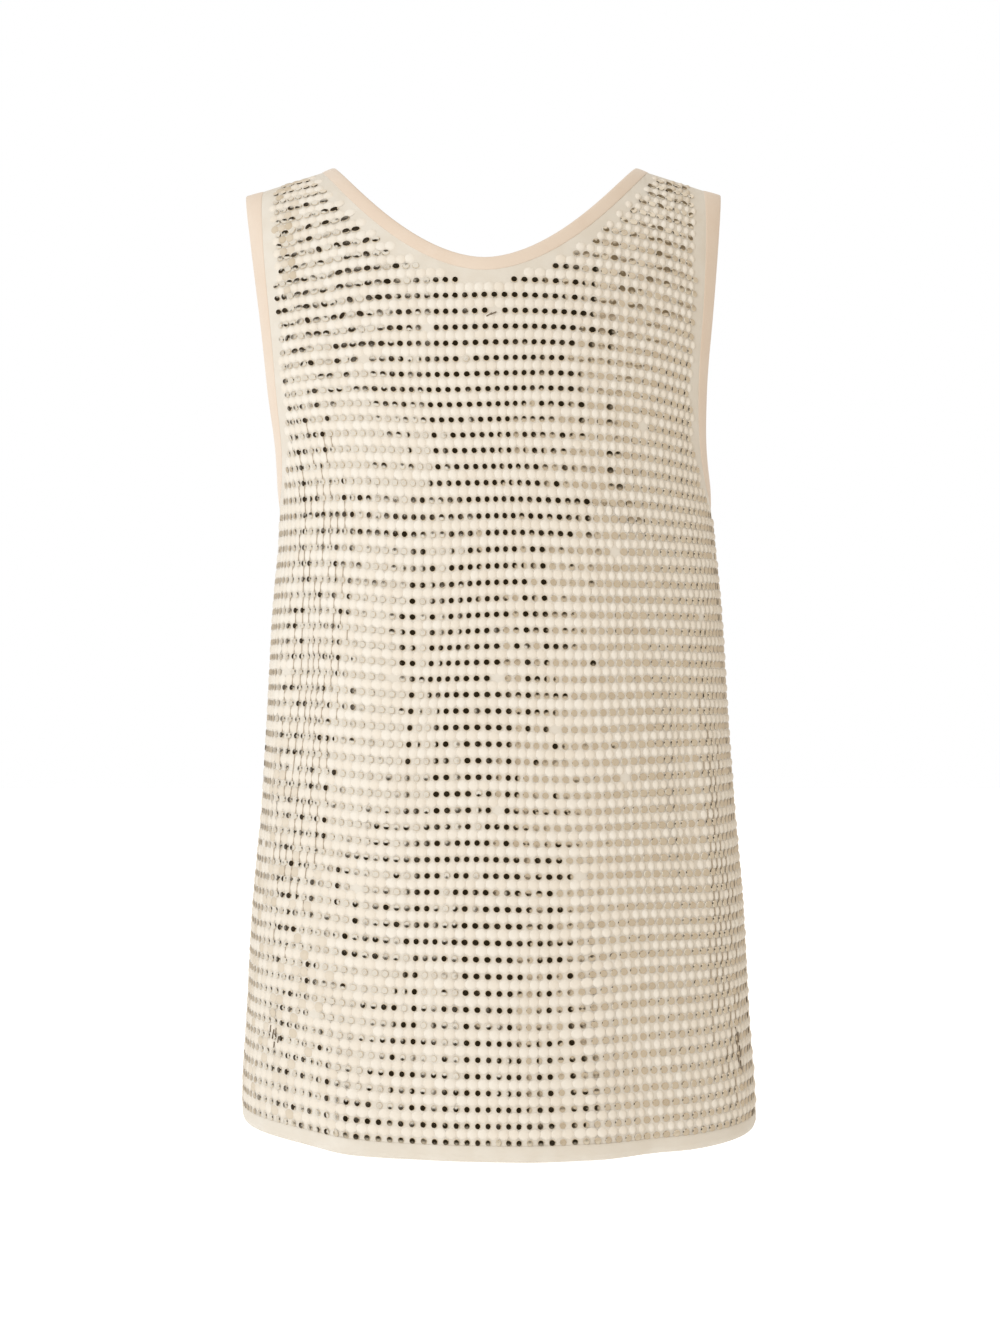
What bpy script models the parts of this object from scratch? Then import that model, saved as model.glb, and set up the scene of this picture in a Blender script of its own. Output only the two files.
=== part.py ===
"""Sleeveless top with a round neck, in the hollow shape that it has when worn.

Metres, +Z up. The back faces -Y, the front faces +Y, and the wearer's right is +X.
The origin lies midway between the two shoulder straps, at the height where they
rest on the wearer. Five cut pieces are modelled: the back, the front, the binding
round the neck and the binding round each armhole.
"""
import math
from collections import namedtuple

import bmesh
import bpy
import numpy as np
from mathutils import Vector

# Driving sizes. A drop is a distance down from the neck end of a shoulder seam.
STRAP_RISE = 0.010         # neck end of a shoulder seam above the origin
LENGTH = 0.612             # drop of the hem
HEM_LIFT = 0.0045          # how far the hem rides up at the wearer's left side
LIFT_DROP = 0.350          # drop below which that lift grows
LIFT_FROM = 0.3            # sine of the turn where the lifted side begins
LIFT_FULL = 0.9            # sine of the turn where it is lifted in full
CHEST_DROP = 0.190         # drop below which the cloth hangs straight down
UNDERARM_DROP = 0.207      # drop of the lowest point of an armhole
ARM_CURVE = 0.090          # height of the round lower end of an armhole
CUT_IN_DROP = 0.020        # drop below which an armhole cuts into the face
CUT_IN_SPAN = 0.090        # further drop to where it has cut in fully
SHOULDER_SLOPE = 0.31      # fall of a shoulder seam over its run
NECK_HALF = 0.097          # half width of the neck at the shoulder seams
NECK_CENTRE = 0.0014       # the neck hangs a little to the wearer's right of the straps
CLOTH = 0.0022             # thickness of the embroidered cloth
BINDING_PROUD = 0.0004     # how far a binding stands out from the cloth, on both faces
NECK_BINDING = 0.0085      # visible width of the neck binding
ARM_BINDING = 0.0120       # visible width of an armhole binding
SEAM_GAP = 0.0003          # clear space between two pieces at a seam
FULLNESS = 0.020           # how much fuller than an ellipse a level section is
CURVE_POWER = 2.2          # roundness of the lower end of an armhole

# Fineness of the meshes.
NECK_STEPS = 26
STRAP_COLUMNS = 5
STRAIGHT_ROWS = 15
ARM_CURVE_STEPS = 8
ARM_SIDE_STEPS = 10

# The cut of each face: its neck, and how far round the armhole reaches towards it.
Face = namedtuple("Face", "name sign neck_drop neck_power arm_degrees")
BACK = Face("back", -1, 0.0715, 1.82, 21.0)
FRONT = Face("front", 1, 0.125, 2.3, 30.0)
STRAP_END_DEGREES = 21.0   # the same on both faces, at the armhole end of the shoulder seam

# Level sections from the shoulders down to the hem.
Section = namedtuple("Section", "drop half_width lean back front")
SECTIONS = (
    Section(-0.040, 0.1650, 0.0000, 0.104, 0.112),
    Section(0.000, 0.1633, 0.0000, 0.104, 0.112),
    Section(0.020, 0.1618, 0.0002, 0.104, 0.112),
    Section(0.050, 0.1582, 0.0010, 0.104, 0.112),
    Section(0.100, 0.1521, 0.0022, 0.104, 0.113),
    Section(0.150, 0.1460, 0.0030, 0.104, 0.115),
    Section(0.190, 0.1402, 0.0057, 0.105, 0.118),
    Section(0.207, 0.1390, 0.0071, 0.106, 0.120),
    Section(0.230, 0.1397, 0.0084, 0.108, 0.122),
    Section(0.280, 0.1440, 0.0090, 0.110, 0.125),
    Section(0.345, 0.1478, 0.0093, 0.114, 0.126),
    Section(0.400, 0.1514, 0.0096, 0.117, 0.127),
    Section(0.475, 0.1577, 0.0096, 0.121, 0.129),
    Section(0.547, 0.1616, 0.0096, 0.125, 0.131),
    Section(0.597, 0.1647, 0.0102, 0.128, 0.133),
    Section(0.606, 0.1646, 0.0104, 0.128, 0.133),
    Section(0.612, 0.1629, 0.0104, 0.127, 0.132),
)

# The largest folds. Each runs straight between two places; a height above zero is a
# ridge and one below zero a trough. An open fold runs on through the hem.
FOLD_FADE = 0.35           # share of a fold's length over which an end fades out
Fold = namedtuple("Fold", "face x_top x_foot top foot height width open_foot")
FOLDS = (
    Fold(BACK, -0.110, -0.115, 0.235, 0.420, -0.0030, 0.008, False),
    Fold(BACK, -0.059, -0.065, 0.160, 0.500, 0.0024, 0.024, False),
    Fold(BACK, -0.104, -0.086, 0.045, 0.170, -0.0020, 0.009, False),
    Fold(BACK, 0.121, 0.129, 0.290, 0.470, -0.0026, 0.008, False),
    Fold(BACK, 0.106, 0.088, 0.090, 0.260, 0.0018, 0.016, False),
    Fold(BACK, -0.095, -0.071, 0.480, 0.700, 0.0032, 0.018, True),
    Fold(BACK, 0.029, 0.035, 0.500, 0.720, 0.0020, 0.022, True),
    Fold(BACK, 0.097, 0.109, 0.470, 0.700, -0.0030, 0.016, True),
    Fold(FRONT, -0.100, -0.064, 0.180, 0.400, -0.0030, 0.010, False),
    Fold(FRONT, 0.118, 0.087, 0.185, 0.380, -0.0028, 0.010, False),
    Fold(FRONT, -0.041, -0.053, 0.330, 0.690, 0.0030, 0.022, True),
    Fold(FRONT, 0.021, 0.013, 0.400, 0.720, -0.0026, 0.018, True),
    Fold(FRONT, 0.075, 0.091, 0.350, 0.700, 0.0034, 0.020, True),
    Fold(FRONT, 0.129, 0.137, 0.440, 0.690, -0.0026, 0.012, True),
)

CLOTH_COLOUR = (0.79, 0.70, 0.59, 1.0)
BINDING_COLOUR = (0.82, 0.67, 0.55, 1.0)
CLOTH_ROUGHNESS = 0.55
BINDING_ROUGHNESS = 0.80

TURN_STEP = 0.01           # step in turn for a difference, in radians
RISE_STEP = 0.01           # step in rise for a difference
SOLVE_STEPS = 8
SIDE_TURN = math.pi / 2
ON_SEAM = 1e-6             # how near to a seam counts as on it
CREASE_DEGREES = 40        # an edge folded more than this is shaded sharp


def smooth_step(value):
    value = min(max(value, 0.0), 1.0)
    return value * value * (3 - 2 * value)


def section_curve(column):
    """Smooth curve through one column of the sections, read by drop."""
    drops = np.array([section.drop for section in SECTIONS])
    values = np.array([getattr(section, column) for section in SECTIONS])
    slopes = np.gradient(values, drops)

    def read(drop):
        place = int(np.clip(np.searchsorted(drops, drop) - 1, 0, len(drops) - 2))
        span = drops[place + 1] - drops[place]
        share = (drop - drops[place]) / span
        rest = 1 - share
        start = values[place] * (1 + 2 * share) * rest ** 2 + slopes[place] * span * share * rest ** 2
        end = values[place + 1] * (3 - 2 * share) * share ** 2
        return float(start + end - slopes[place + 1] * span * rest * share ** 2)

    return read


half_width_at = section_curve("half_width")
lean_at = section_curve("lean")
depth_at = {BACK: section_curve("back"), FRONT: section_curve("front")}


def fullness(turn):
    return 1 + FULLNESS * (1 - math.cos(4 * turn)) / 2


def shoulder_drop(x):
    """Drop of the shoulder line, which also runs on past both ends of the seam."""
    return (abs(x - NECK_CENTRE) - NECK_HALF) * SHOULDER_SLOPE


def fold_height(face, x, drop):
    height = 0.0
    for fold in FOLDS:
        along = (drop - fold.top) / (fold.foot - fold.top)
        if fold.face != face or not 0 < along < 1:
            continue
        beside = (x - fold.x_top - (fold.x_foot - fold.x_top) * along) / fold.width
        fade = smooth_step(along / FOLD_FADE)
        if not fold.open_foot:
            fade *= smooth_step((1 - along) / FOLD_FADE)
        height += fold.height * fade * math.exp(-beside ** 2)
    return height


def x_of(turn, drop):
    return lean_at(drop) + half_width_at(drop) * fullness(turn) * math.sin(turn)


def place_of(turn, rise):
    """Sideways place and drop. Rise is 0 at the hem, 1 at the chest, 2 on the shoulder."""
    if rise <= 1:
        drop = LENGTH - (LENGTH - CHEST_DROP) * rise
        return x_of(turn, drop), drop
    climb = math.sin((rise - 1) * math.pi / 2)
    drop = CHEST_DROP * (1 - climb)
    for _ in range(SOLVE_STEPS):
        x = x_of(turn, drop)
        drop = CHEST_DROP - (CHEST_DROP - shoulder_drop(x)) * climb
    return x, drop


def smooth_face(face, turn, rise):
    """Outer face of the cloth without its folds. Turn is 0 on the centre line."""
    x, drop = place_of(turn, rise)
    depth = depth_at[face](drop) * fullness(turn) * math.cos(turn)
    if rise > 1:
        depth *= math.cos((rise - 1) * math.pi / 2)
    to_left = smooth_step((-math.sin(turn) - LIFT_FROM) / (LIFT_FULL - LIFT_FROM))
    lift = HEM_LIFT * to_left * smooth_step((drop - LIFT_DROP) / (LENGTH - LIFT_DROP))
    return Vector((x, face.sign * depth, STRAP_RISE - drop + lift))


def tangents(face, turn, rise):
    across = smooth_face(face, turn + TURN_STEP, rise) - smooth_face(face, turn - TURN_STEP, rise)
    up = smooth_face(face, turn, rise + RISE_STEP) - smooth_face(face, turn, rise - RISE_STEP)
    return across / (2 * TURN_STEP), up / (2 * RISE_STEP)


def outward(face, turn, rise):
    across, up = tangents(face, turn, rise)
    return (across.cross(up) * -face.sign).normalized()


def cloth_point(face, turn, rise, depth):
    """Point of the cloth at a depth below its outer face, folds included."""
    x, drop = place_of(turn, rise)
    lift = fold_height(face, x, drop) - depth
    return smooth_face(face, turn, rise) + outward(face, turn, rise) * lift


def turn_at(x, drop):
    share = (x - lean_at(drop)) / half_width_at(drop)
    turn = 0.0
    for _ in range(SOLVE_STEPS):
        turn = math.asin(min(max(share / fullness(turn), -1.0), 1.0))
    return turn


def rise_at(turn, drop):
    if drop >= CHEST_DROP:
        return (LENGTH - drop) / (LENGTH - CHEST_DROP)
    climb = (CHEST_DROP - drop) / (CHEST_DROP - shoulder_drop(x_of(turn, drop)))
    return 1 + math.asin(min(climb, 1.0)) * 2 / math.pi


def arm_degrees(face, drop):
    """Angle from the side seam to the straight part of an armhole's edge."""
    cut_in = smooth_step((drop - CUT_IN_DROP) / CUT_IN_SPAN)
    return STRAP_END_DEGREES + (face.arm_degrees - STRAP_END_DEGREES) * cut_in


def arm_edge(face, hand):
    """Turn and rise along an armhole's edge, from the underarm to the shoulder seam."""
    edge = []
    for step in range(ARM_CURVE_STEPS):
        angle = step / ARM_CURVE_STEPS * math.pi / 2
        drop = UNDERARM_DROP - ARM_CURVE * (1 - math.cos(angle) ** (2 / CURVE_POWER))
        degrees = arm_degrees(face, drop) * math.sin(angle) ** (2 / CURVE_POWER)
        turn = hand * (SIDE_TURN - math.radians(degrees))
        edge.append((turn, rise_at(turn, drop)))
    straight_turn = hand * (SIDE_TURN - math.radians(face.arm_degrees))
    first = rise_at(straight_turn, UNDERARM_DROP - ARM_CURVE)
    for step in range(ARM_SIDE_STEPS + 1):
        edge_rise = first + (2 - first) * step / ARM_SIDE_STEPS
        turn = straight_turn
        for _ in range(SOLVE_STEPS):
            drop = place_of(turn, edge_rise)[1]
            turn = hand * (SIDE_TURN - math.radians(arm_degrees(face, drop)))
        edge.append((turn, edge_rise))
    return edge


def neck_edge(face):
    """Turn and rise along the neck's edge, from one shoulder seam to the other."""
    edge = []
    for step in range(NECK_STEPS + 1):
        share = math.sin((step / NECK_STEPS * 2 - 1) * math.pi / 2)
        drop = face.neck_drop * (1 - abs(share) ** face.neck_power)
        turn = turn_at(NECK_CENTRE + share * NECK_HALF, drop)
        edge.append((turn, rise_at(turn, drop)))
    return edge


def inset(face, edge, width, side):
    """The edge moved by a width over the cloth, to the side of its run that holds the cloth."""
    moved = []
    for place, (turn, rise) in enumerate(edge):
        before = edge[max(place - 1, 0)]
        after = edge[min(place + 1, len(edge) - 1)]
        across, up = tangents(face, turn, rise)
        along = across * (after[0] - before[0]) + up * (after[1] - before[1])
        if abs(abs(turn) - SIDE_TURN) < ON_SEAM:
            along = across if along.dot(across) > 0 else -across
        if abs(rise - 2) < ON_SEAM:
            along = up if along.dot(up) > 0 else -up
        beside = outward(face, turn, rise).cross(along).normalized() * (side * width)
        grid = np.array([[across.dot(across), across.dot(up)], [across.dot(up), up.dot(up)]])
        step = np.linalg.solve(grid, np.array([beside.dot(across), beside.dot(up)]))
        here = smooth_face(face, turn, rise)
        for _ in range(SOLVE_STEPS):
            there = smooth_face(face, turn + float(step[0]), rise + float(step[1]))
            step *= width / (there - here).length
        moved.append((turn + float(step[0]), rise + float(step[1])))
    return moved


def arm_inset(face, hand, width):
    return inset(face, arm_edge(face, hand), width, -face.sign * hand)


def neck_inset(face, width):
    return inset(face, neck_edge(face), width, face.sign)


def solid(name, points, faces, colour, roughness):
    """One closed body with its faces turned outward."""
    mesh = bpy.data.meshes.new(name)
    work = bmesh.new()
    verts = [work.verts.new(point) for point in points]
    for face in faces:
        work.faces.new([verts[index] for index in face])
    bmesh.ops.recalc_face_normals(work, faces=work.faces)
    work.to_mesh(mesh)
    work.free()
    mesh.shade_smooth()
    mesh.set_sharp_from_angle(angle=math.radians(CREASE_DEGREES))
    material = bpy.data.materials.new(name)
    material.use_nodes = True
    shader = material.node_tree.nodes["Principled BSDF"]
    shader.inputs["Base Color"].default_value = colour
    shader.inputs["Roughness"].default_value = roughness
    shader.inputs["Metallic"].default_value = 0.0
    mesh.materials.append(material)
    piece = bpy.data.objects.new(name, mesh)
    bpy.context.scene.collection.objects.link(piece)
    return piece


def wall_faces(rows, columns, outer, inner):
    """Faces of a wall from two grids of point numbers, closed round all four edges."""
    faces = []
    for row in range(rows):
        for column in range(columns):
            for grid in (outer, inner):
                faces.append((grid[row][column], grid[row][column + 1],
                              grid[row + 1][column + 1], grid[row + 1][column]))
    for row in range(rows):
        for column in (0, columns):
            faces.append((outer[row][column], outer[row + 1][column],
                          inner[row + 1][column], inner[row][column]))
    for column in range(columns):
        for row in (0, rows):
            faces.append((outer[row][column], outer[row][column + 1],
                          inner[row][column + 1], inner[row][column]))
    return faces


def make_panel(face):
    """Back or front: a wall from the hem to the shoulder seams, open at neck and armholes."""
    arms = {hand: arm_inset(face, hand, ARM_BINDING + SEAM_GAP) for hand in (-1, 1)}
    neck = neck_inset(face, NECK_BINDING + SEAM_GAP)
    half_gap = SEAM_GAP / 2 / depth_at[face](UNDERARM_DROP)
    seam_rise = 2 - SEAM_GAP / 2 / (depth_at[face](0.0) * math.pi / 4)

    def side_turn(hand, rise):
        rises = [edge_rise for _, edge_rise in arms[hand]]
        turns = [abs(edge_turn) for edge_turn, _ in arms[hand]]
        turn = SIDE_TURN if rise <= rises[0] else float(np.interp(rise, rises, turns))
        return hand * min(turn, SIDE_TURN - half_gap)

    # Columns: a few on each strap, and one at each place along the neck's edge.
    neck_shares = [turn / abs(side_turn(1 if turn > 0 else -1, rise)) for turn, rise in neck]
    neck_rises = [rise for _, rise in neck]
    left_strap = np.linspace(-1, neck_shares[0], STRAP_COLUMNS + 1)[:-1]
    right_strap = np.linspace(neck_shares[-1], 1, STRAP_COLUMNS + 1)[1:]
    shares = np.concatenate([left_strap, neck_shares, right_strap])

    # Rows: even ones up to the underarms, then one at each place along the armholes' edges.
    rows = []
    for step in range(STRAIGHT_ROWS):
        rows.append((arms[-1][0][1] * step / STRAIGHT_ROWS, arms[1][0][1] * step / STRAIGHT_ROWS))
    rows.extend((left[1], right[1]) for left, right in zip(arms[-1], arms[1]))
    rows[-1] = (seam_rise, seam_rise)

    points = []
    grids = []
    for depth in (0.0, CLOTH):
        grid = []
        for left_rise, right_rise in rows:
            row = []
            for share in shares:
                rise = left_rise + (right_rise - left_rise) * (share + 1) / 2
                if neck_shares[0] < share < neck_shares[-1] and rise > 1:
                    top = float(np.interp(share, neck_shares, neck_rises))
                    rise = 1 + (rise - 1) * (top - 1) / (seam_rise - 1)
                turn = abs(share) * side_turn(1 if share > 0 else -1, rise)
                row.append(len(points))
                points.append(cloth_point(face, turn, rise, depth))
            grid.append(row)
        grids.append(grid)
    faces = wall_faces(len(rows) - 1, len(shares) - 1, grids[0], grids[1])
    return solid(face.name + "_panel", points, faces, CLOTH_COLOUR, CLOTH_ROUGHNESS)


def make_binding(name, lines):
    """Bias strip folded over an edge: a flat ring along the edge, a little proud of the cloth.

    Lines holds the outer and the inner edge on the back, then the same on the front.
    """
    stations = []
    for face, outer_line, inner_line in lines:
        pairs = list(zip(outer_line, inner_line))
        if stations:
            pairs = pairs[::-1]
        stations.extend((face, outer, inner) for outer, inner in pairs[:-1])
    points = []
    for face, outer, inner in stations:
        for turn, rise in (outer, inner):
            for depth in (-BINDING_PROUD, CLOTH + BINDING_PROUD):
                points.append(cloth_point(face, turn, rise, depth))
    faces = []
    for place in range(len(stations)):
        here = 4 * place
        there = 4 * ((place + 1) % len(stations))
        for first, second in ((0, 1), (1, 3), (3, 2), (2, 0)):
            faces.append((here + first, here + second, there + second, there + first))
    return solid(name, points, faces, BINDING_COLOUR, BINDING_ROUGHNESS)


def clear_scene():
    for item in list(bpy.data.objects):
        bpy.data.objects.remove(item)


clear_scene()
for panel_face in (BACK, FRONT):
    make_panel(panel_face)
make_binding("neck_binding", [(face, neck_edge(face), neck_inset(face, NECK_BINDING))
                              for face in (BACK, FRONT)])
for side_name, side_hand in (("left", -1), ("right", 1)):
    make_binding("armhole_binding_" + side_name,
                 [(face, arm_edge(face, side_hand), arm_inset(face, side_hand, ARM_BINDING))
                  for face in (BACK, FRONT)])
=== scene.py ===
"""Tank top in cream cloth covered with paillettes and small mirror discs, as it is when worn.

The back of the top faces -Y and is the side that the camera sees.
"""

import math
from collections import namedtuple

import bmesh
import bpy
import numpy as np
from mathutils import Matrix, Vector


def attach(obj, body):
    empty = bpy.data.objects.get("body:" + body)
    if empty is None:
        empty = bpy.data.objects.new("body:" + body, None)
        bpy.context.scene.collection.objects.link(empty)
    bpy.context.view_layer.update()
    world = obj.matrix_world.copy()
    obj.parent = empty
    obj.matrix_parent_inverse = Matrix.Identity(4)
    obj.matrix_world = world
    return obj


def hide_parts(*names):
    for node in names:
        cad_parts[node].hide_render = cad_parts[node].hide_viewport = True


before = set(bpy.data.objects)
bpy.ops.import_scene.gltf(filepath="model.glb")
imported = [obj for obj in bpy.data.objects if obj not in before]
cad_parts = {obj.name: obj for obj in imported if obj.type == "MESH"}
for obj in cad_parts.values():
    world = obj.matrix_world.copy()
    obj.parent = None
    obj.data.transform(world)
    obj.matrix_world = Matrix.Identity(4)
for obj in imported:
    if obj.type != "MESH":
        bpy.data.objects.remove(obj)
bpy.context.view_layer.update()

# Back and front: one cut piece of thin cream cloth each, sewn together at the shoulders
# and down both sides. They hang in the round shape of the body, open at neck, arms and hem.
Face = namedtuple("Face", "name sign depth_column neck_drop neck_power arm_degrees")
BACK = Face("back", -1, 3, 0.0715, 1.82, 21.0)
FRONT = Face("front", 1, 4, 0.125, 2.3, 30.0)
STRAP_RISE = 0.010
LENGTH = 0.612
CHEST_DROP = 0.190
UNDERARM_DROP = 0.207
HEM_LIFT = 0.0045
LIFT_DROP = 0.350
ARM_CURVE = 0.090
SHOULDER_SLOPE = 0.31
NECK_HALF = 0.097
NECK_CENTRE = 0.0014
STRAP_END_DEGREES = 21.0
FULLNESS = 0.020
CURVE_POWER = 2.2
CLOTH_DEPTH = 0.0010        # the cloth lies this far under the paillettes' outer face
CLOTH_THICKNESS = 0.0009
NECK_BINDING = 0.0085
ARM_BINDING = 0.0120
TUCKED_IN = 0.0030          # how far the cloth runs on inside a binding
SIDE_TURN = math.pi / 2
CUT_IN_FROM = 0.020         # drop at which the armholes' edges start to leave the straps' line
CUT_IN_OVER = 0.090
LIFT_FROM = 0.3             # sine of the turn at which the lift of the hem's left side starts
LIFT_OVER = 0.6
FOLD_FADE = 0.35            # share of a fold's length in which it fades in or out
ARM_POINTS = 25             # along each half of an armhole's edge
NECK_POINTS = 61
PASSES = 8                  # rounds in which a place on a curved edge is found

# Level sections of the worn top: drop, half width, lean, depth of the back, depth of the front.
SECTIONS = np.array((
    (-0.040, 0.1650, 0.0000, 0.104, 0.112),
    (0.000, 0.1633, 0.0000, 0.104, 0.112),
    (0.020, 0.1618, 0.0002, 0.104, 0.112),
    (0.050, 0.1582, 0.0010, 0.104, 0.112),
    (0.100, 0.1521, 0.0022, 0.104, 0.113),
    (0.150, 0.1460, 0.0030, 0.104, 0.115),
    (0.190, 0.1402, 0.0057, 0.105, 0.118),
    (0.207, 0.1390, 0.0071, 0.106, 0.120),
    (0.230, 0.1397, 0.0084, 0.108, 0.122),
    (0.280, 0.1440, 0.0090, 0.110, 0.125),
    (0.345, 0.1478, 0.0093, 0.114, 0.126),
    (0.400, 0.1514, 0.0096, 0.117, 0.127),
    (0.475, 0.1577, 0.0096, 0.121, 0.129),
    (0.547, 0.1616, 0.0096, 0.125, 0.131),
    (0.597, 0.1647, 0.0102, 0.128, 0.133),
    (0.606, 0.1646, 0.0104, 0.128, 0.133),
    (0.612, 0.1629, 0.0104, 0.127, 0.132),
))

# Folds run straight from a top to a foot; below zero is a trough. The first group are the
# large ones of the solid, the second group the soft creases of the cloth between them.
Fold = namedtuple("Fold", "face x_top x_foot top foot height width open_foot")
FOLDS = (
    Fold(BACK, -0.110, -0.115, 0.235, 0.420, -0.0030, 0.008, False),
    Fold(BACK, -0.059, -0.065, 0.160, 0.500, 0.0024, 0.024, False),
    Fold(BACK, -0.104, -0.086, 0.045, 0.170, -0.0020, 0.009, False),
    Fold(BACK, 0.121, 0.129, 0.290, 0.470, -0.0026, 0.008, False),
    Fold(BACK, 0.106, 0.088, 0.090, 0.260, 0.0018, 0.016, False),
    Fold(BACK, -0.095, -0.071, 0.480, 0.700, 0.0032, 0.018, True),
    Fold(BACK, 0.029, 0.035, 0.500, 0.720, 0.0020, 0.022, True),
    Fold(BACK, 0.097, 0.109, 0.470, 0.700, -0.0030, 0.016, True),
    Fold(FRONT, -0.100, -0.064, 0.180, 0.400, -0.0030, 0.010, False),
    Fold(FRONT, 0.118, 0.087, 0.185, 0.380, -0.0028, 0.010, False),
    Fold(FRONT, -0.041, -0.053, 0.330, 0.690, 0.0030, 0.022, True),
    Fold(FRONT, 0.021, 0.013, 0.400, 0.720, -0.0026, 0.018, True),
    Fold(FRONT, 0.075, 0.091, 0.350, 0.700, 0.0034, 0.020, True),
    Fold(FRONT, 0.129, 0.137, 0.440, 0.690, -0.0026, 0.012, True),
    Fold(BACK, -0.126, -0.132, 0.250, 0.470, 0.0016, 0.006, False),
    Fold(BACK, 0.136, 0.141, 0.300, 0.520, 0.0014, 0.006, False),
    Fold(BACK, -0.118, -0.070, 0.300, 0.370, -0.0011, 0.012, False),
    Fold(BACK, 0.060, 0.112, 0.215, 0.250, 0.0012, 0.014, False),
    Fold(BACK, -0.030, -0.041, 0.420, 0.640, -0.0012, 0.014, True),
    Fold(BACK, 0.064, 0.070, 0.400, 0.700, 0.0012, 0.013, True),
    Fold(FRONT, 0.098, 0.111, 0.260, 0.430, 0.0014, 0.008, False),
    Fold(FRONT, -0.118, -0.124, 0.280, 0.500, -0.0014, 0.008, False),
    Fold(FRONT, -0.008, -0.015, 0.250, 0.450, 0.0012, 0.014, False),
    Fold(FRONT, -0.086, -0.101, 0.440, 0.700, -0.0014, 0.013, True),
)


def smooth_step(value):
    value = np.clip(value, 0.0, 1.0)
    return value * value * (3 - 2 * value)


def section_curve(column):
    """Smooth curve through one column of the sections, read by drop."""
    drops = SECTIONS[:, 0]
    values = SECTIONS[:, column]
    slopes = np.gradient(values, drops)

    def read(drop):
        place = np.clip(np.searchsorted(drops, drop) - 1, 0, len(drops) - 2)
        span = drops[place + 1] - drops[place]
        share = (drop - drops[place]) / span
        rest = 1 - share
        start = values[place] * (1 + 2 * share) * rest ** 2 + slopes[place] * span * share * rest ** 2
        end = values[place + 1] * (3 - 2 * share) * share ** 2
        return start + end - slopes[place + 1] * span * rest * share ** 2

    return read


half_width_at = section_curve(1)
lean_at = section_curve(2)
depth_at = {BACK: section_curve(BACK.depth_column), FRONT: section_curve(FRONT.depth_column)}


def fullness(turn):
    return 1 + FULLNESS * (1 - np.cos(4 * turn)) / 2


def x_of(turn, drop):
    return lean_at(drop) + half_width_at(drop) * fullness(turn) * np.sin(turn)


def shoulder_drop(x):
    return (np.abs(x - NECK_CENTRE) - NECK_HALF) * SHOULDER_SLOPE


def place_of(turn, rise):
    """Sideways place and drop. Rise is 0 at the hem, 1 at the chest, 2 on the shoulder."""
    climb = np.sin(np.clip(rise - 1, 0, None) * math.pi / 2)
    drop = CHEST_DROP * (1 - climb)
    for _ in range(PASSES):
        drop = CHEST_DROP - (CHEST_DROP - shoulder_drop(x_of(turn, drop))) * climb
    drop = np.where(rise <= 1, LENGTH - (LENGTH - CHEST_DROP) * rise, drop)
    return x_of(turn, drop), drop


def rise_at(turn, drop):
    low = (LENGTH - drop) / (LENGTH - CHEST_DROP)
    climb = (CHEST_DROP - drop) / (CHEST_DROP - shoulder_drop(x_of(turn, drop)))
    return np.where(drop >= CHEST_DROP, low, 1 + np.arcsin(np.clip(climb, 0, 1)) * 2 / math.pi)


def smooth_face(face, turn, rise):
    """The outer face without folds, as rows of points. Turn is 0 on the centre line."""
    x, drop = place_of(turn, rise)
    over = np.cos(np.clip(rise - 1, 0, None) * math.pi / 2)
    y = face.sign * depth_at[face](drop) * fullness(turn) * np.cos(turn) * over
    lift = HEM_LIFT * smooth_step((-np.sin(turn) - LIFT_FROM) / LIFT_OVER)
    z = STRAP_RISE - drop + lift * smooth_step((drop - LIFT_DROP) / (LENGTH - LIFT_DROP))
    return np.stack([x, y, z], -1)


def tangents(face, turn, rise):
    step = 0.01
    across = smooth_face(face, turn + step, rise) - smooth_face(face, turn - step, rise)
    up = smooth_face(face, turn, rise + step) - smooth_face(face, turn, rise - step)
    return across / (2 * step), up / (2 * step)


def unit(rows):
    return rows / np.linalg.norm(rows, axis=-1, keepdims=True)


def outward(face, turn, rise):
    across, up = tangents(face, turn, rise)
    return unit(np.cross(across, up) * -face.sign)


def fold_height(face, x, drop):
    height = np.zeros_like(x)
    for fold in FOLDS:
        if fold.face == face:
            along = (drop - fold.top) / (fold.foot - fold.top)
            beside = (x - fold.x_top - (fold.x_foot - fold.x_top) * along) / fold.width
            fade = smooth_step(along / FOLD_FADE) * (along < 1)
            if not fold.open_foot:
                fade = fade * smooth_step((1 - along) / FOLD_FADE)
            height += fold.height * fade * np.exp(-beside ** 2)
    return height


def cloth_point(face, turn, rise, depth):
    """Points at a depth below the outer face, folds included."""
    x, drop = place_of(turn, rise)
    lift = fold_height(face, x, drop) - depth
    return smooth_face(face, turn, rise) + outward(face, turn, rise) * lift[..., None]


def arm_degrees(face, drop):
    cut_in = smooth_step((drop - CUT_IN_FROM) / CUT_IN_OVER)
    return STRAP_END_DEGREES + (face.arm_degrees - STRAP_END_DEGREES) * cut_in


def arm_edge(face, hand):
    """Turns and rises along an armhole's edge, from the underarm to the shoulder seam."""
    angle = np.linspace(0, math.pi / 2, ARM_POINTS)[:-1]
    drop = UNDERARM_DROP - ARM_CURVE * (1 - np.cos(angle) ** (2 / CURVE_POWER))
    degrees = arm_degrees(face, drop) * np.sin(angle) ** (2 / CURVE_POWER)
    low_turn = hand * (SIDE_TURN - np.radians(degrees))
    low_rise = rise_at(low_turn, drop)
    straight_turn = hand * (SIDE_TURN - math.radians(face.arm_degrees))
    first = float(rise_at(np.array(straight_turn), np.array(UNDERARM_DROP - ARM_CURVE)))
    rise = np.linspace(first, 2, ARM_POINTS)
    turn = np.full_like(rise, straight_turn)
    for _ in range(PASSES):
        turn = hand * (SIDE_TURN - np.radians(arm_degrees(face, place_of(turn, rise)[1])))
    return np.concatenate([low_turn, turn]), np.concatenate([low_rise, rise])


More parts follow.
